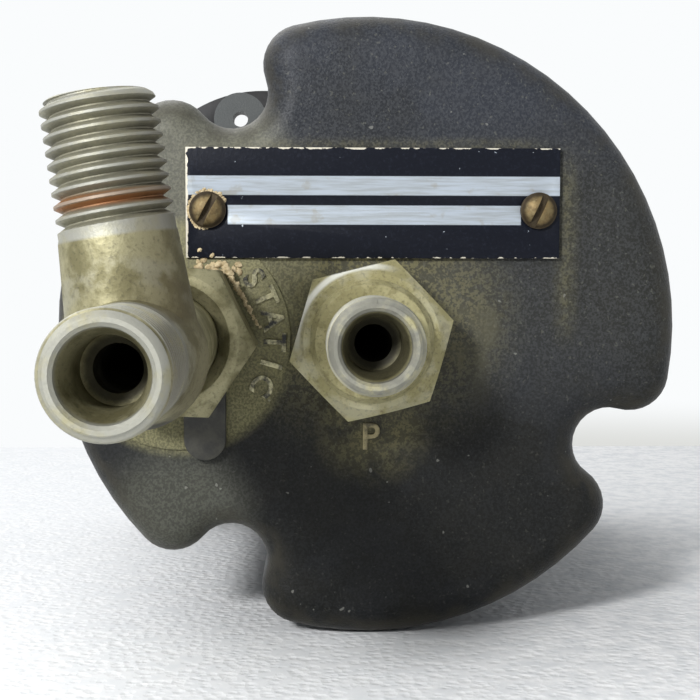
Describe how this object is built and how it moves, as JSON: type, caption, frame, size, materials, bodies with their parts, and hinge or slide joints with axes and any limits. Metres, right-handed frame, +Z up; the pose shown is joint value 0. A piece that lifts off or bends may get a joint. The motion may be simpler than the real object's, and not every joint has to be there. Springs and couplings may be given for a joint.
{
  "type": "airspeed indicator",
  "caption": "Aircraft airspeed and Mach indicator with a notched moulded case, a pitot union and a static tee at the rear, and geared pointer and Mach dial.",
  "frame": {"origin": "on the case axis, at the bezel flange's front face, which lies against the panel", "axes": "+Y out of the panel to the pilot, along the case axis; +Z up; +X to the right as seen from the rear"},
  "size_m": [0.083, 0.155, 0.0826],
  "materials": {
    "moulded_case": "dusty satin moulding with a worn rim",
    "black_bezel": "matt black",
    "glass": "clear",
    "black_rubber": "matt",
    "dark_steel": "blackened",
    "plated_fitting": "tarnished plating",
    "name_plate": "black enamel with bare silver fields",
    "screw_brass": "dirty",
    "black_dial": "matt black with white marks",
    "white_pointer": "matt white",
    "movement_brass": "machined",
    "movement_steel": "polished",
    "blued_spring": "blued",
    "jewel": "polished red",
    "capsule_metal": "corrugated sheet"
  },
  "bodies": {
    "instrument": {"case": "moulded_case", "bezel": "black_bezel", "cover_glass": "glass", "glass_gasket": "black_rubber", "glass_retainer": "dark_steel", "case_seal": "black_rubber", "bezel_screws": "dark_steel", "name_plate": "name_plate", "name_plate_screws": "screw_brass", "pitot_union": "plated_fitting", "pitot_seal": "black_rubber", "static_tee": "plated_fitting", "static_lock_nut": "plated_fitting", "static_tab_washer": "dark_steel", "static_seal": "black_rubber", "airspeed_dial": "black_dial", "dial_posts": "movement_brass", "dial_screws": "black_dial", "hairspring": "blued_spring", "hairspring_stud": "movement_brass", "front_plate": "movement_brass", "rear_plate": "movement_brass", "plate_pillars": "movement_brass", "pillar_screws": "movement_steel", "movement_screws": "movement_steel", "pivot_bushes": "jewel", "airspeed_bracket": "movement_brass", "airspeed_capsule": "capsule_metal", "capsule_stem": "movement_brass", "mach_bracket": "movement_brass", "aneroid_capsule": "capsule_metal", "aneroid_bridge": "movement_brass", "aneroid_posts": "movement_steel", "bracket_screws": "movement_steel"},
    "pointer": {"airspeed_pointer": "white_pointer", "pointer_staff": "movement_steel", "hairspring_collet": "movement_brass"},
    "airspeed_sector": {"airspeed_sector": "movement_brass", "airspeed_sector_shaft": "movement_steel"},
    "airspeed_rocker": {"airspeed_rocker": "movement_steel"},
    "airspeed_link": {"airspeed_link": "movement_steel"},
    "mach_dial": {"mach_dial": "black_dial", "mach_cannon": "movement_brass"},
    "mach_sector": {"mach_sector": "movement_brass", "mach_sector_shaft": "movement_steel"},
    "mach_rocker": {"mach_rocker": "movement_steel"},
    "aneroid_link": {"aneroid_link": "movement_steel"}
  },
  "joints": [
    {"name": "pointer_turn", "type": "hinge", "parent": "instrument", "child": "pointer", "pos_m": [0, 0, 0], "axis": [0, -1, 0], "range_deg": [0, 300]},
    {"name": "airspeed_sector_swing", "type": "hinge", "parent": "instrument", "child": "airspeed_sector", "pos_m": [0, -0.019, -0.0168], "axis": [0, -1, 0], "range_deg": [-42.9, 0]},
    {"name": "airspeed_rocker_turn", "type": "hinge", "parent": "instrument", "child": "airspeed_rocker", "pos_m": [0, -0.05, -0.007], "axis": [1, 0, 0], "range_deg": [-20.05, 0]},
    {"name": "airspeed_link_slide", "type": "slide", "parent": "instrument", "child": "airspeed_link", "axis": [0, 1, 0], "range_m": [0, 0.00206]},
    {"name": "mach_dial_turn", "type": "hinge", "parent": "instrument", "child": "mach_dial", "pos_m": [0, 0, 0], "axis": [0, -1, 0], "range_deg": [-120, 0]},
    {"name": "mach_sector_swing", "type": "hinge", "parent": "instrument", "child": "mach_sector", "pos_m": [0, -0.013, 0.021], "axis": [0, -1, 0], "range_deg": [0, 30.05]},
    {"name": "mach_rocker_turn", "type": "hinge", "parent": "instrument", "child": "mach_rocker", "pos_m": [0, -0.04, 0.01751], "axis": [1, 0, 0], "range_deg": [0, 22.55]},
    {"name": "aneroid_link_slide", "type": "slide", "parent": "instrument", "child": "aneroid_link", "axis": [0, 1, 0], "range_m": [0, 0.00156]}
  ],
  "couplings": [
    {"joint": "airspeed_sector_swing", "follows": "pointer_turn", "ratio": -0.14286},
    {"joint": "airspeed_rocker_turn", "follows": "pointer_turn", "ratio": -0.066667},
    {"joint": "airspeed_link_slide", "follows": "pointer_turn", "m_per_rad": 0.00039152},
    {"joint": "mach_sector_swing", "follows": "mach_dial_turn", "ratio": -0.25},
    {"joint": "mach_rocker_turn", "follows": "mach_dial_turn", "ratio": -0.1875},
    {"joint": "aneroid_link_slide", "follows": "mach_dial_turn", "m_per_rad": -0.00074007}
  ]
}
